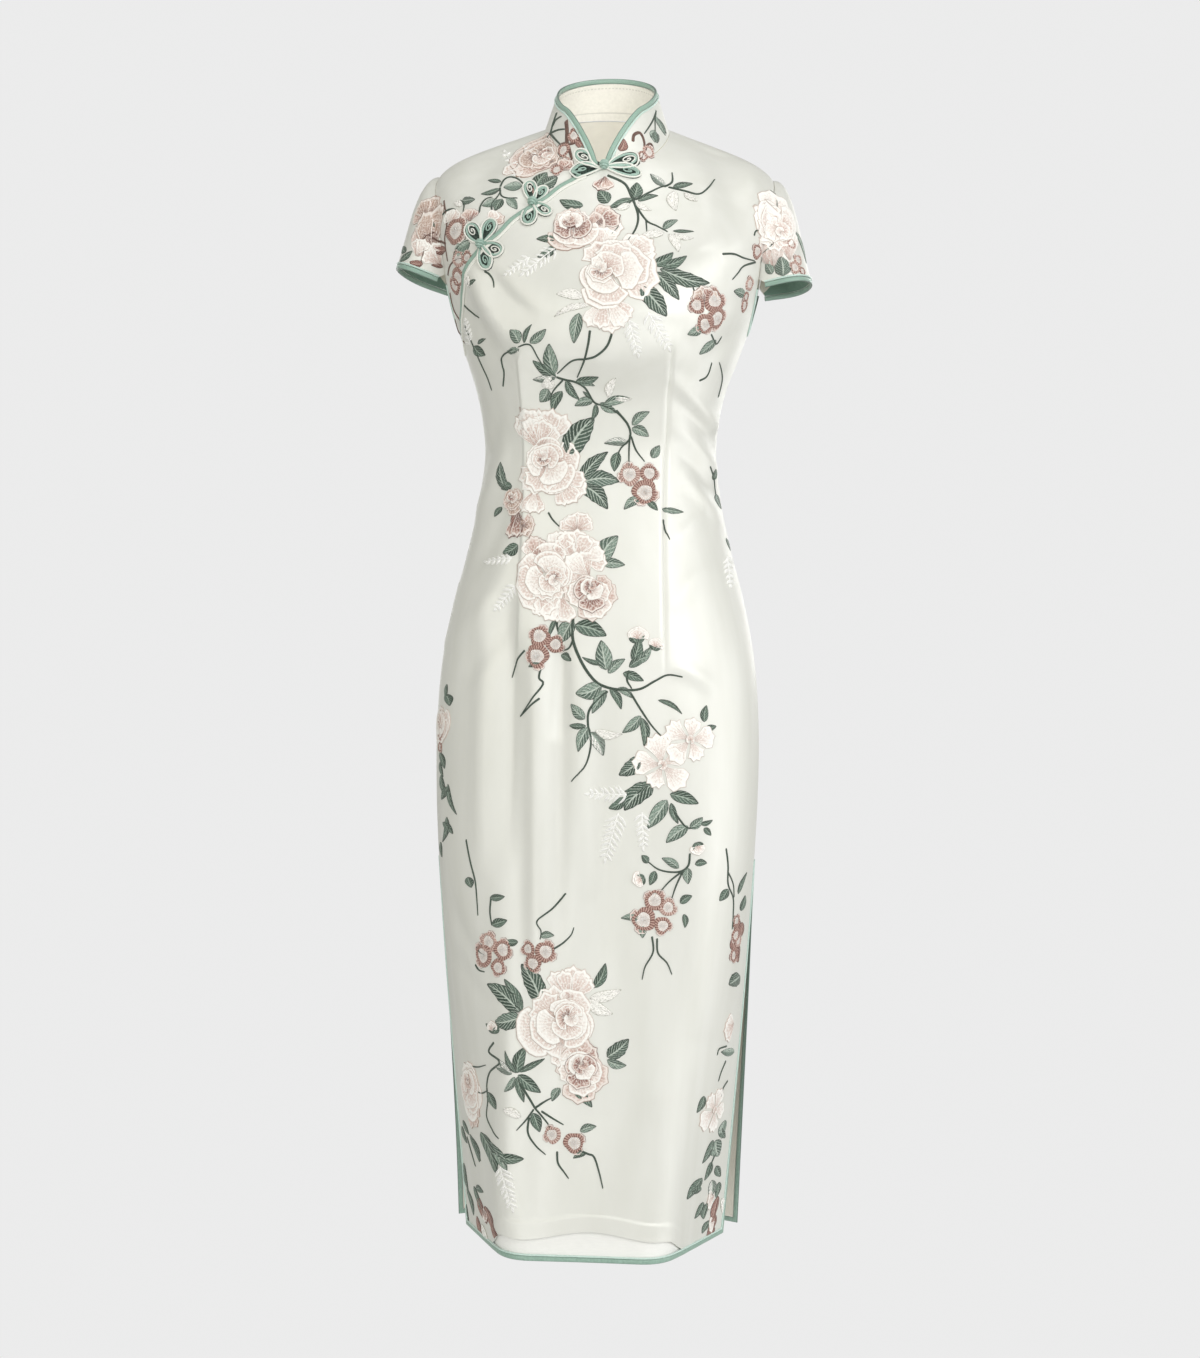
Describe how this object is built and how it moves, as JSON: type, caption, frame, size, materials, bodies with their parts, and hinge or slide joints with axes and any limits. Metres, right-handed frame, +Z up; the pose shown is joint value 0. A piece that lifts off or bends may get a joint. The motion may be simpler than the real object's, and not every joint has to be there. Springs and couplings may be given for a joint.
{
  "type": "cheongsam dress",
  "caption": "Fitted mid-calf cheongsam in the hollow form it has when worn, with a stand collar, cap sleeves, a slanted frog-fastened opening and bound side slits.",
  "frame": {"origin": "midway between the two points where the shoulder seams meet the collar, where the wearer's shoulders hold the dress", "axes": "+Z up, the dress faces -Y, +X is the wearer's left"},
  "size_m": [0.4422, 0.2447, 1.2369],
  "materials": {
    "satin": "ivory silk satin with floral embroidery, soft sheen",
    "lining": "plain cream lining, matt",
    "binding": "sage green satin, folded as a piped binding",
    "cord": "sage green satin cord, coiled and knotted"
  },
  "bodies": {
    "root": {"armhole_binding_left": "binding", "armhole_binding_right": "binding", "back": "satin", "back_binding": "binding", "collar": "satin", "collar_binding": "binding", "collar_facing": "lining", "frog_chest_knot": "cord", "frog_chest_left": "cord", "frog_chest_right": "cord", "frog_neck_knot": "cord", "frog_neck_left": "cord", "frog_neck_right": "cord", "frog_side_knot": "cord", "frog_side_left": "cord", "frog_side_right": "cord", "front": "satin", "front_binding": "binding", "hem_underlay": "lining", "placket_binding": "binding", "sleeve_binding_left": "binding", "sleeve_binding_right": "binding", "sleeve_left": "satin", "sleeve_right": "satin", "under_front": "satin"}
  },
  "joints": []
}
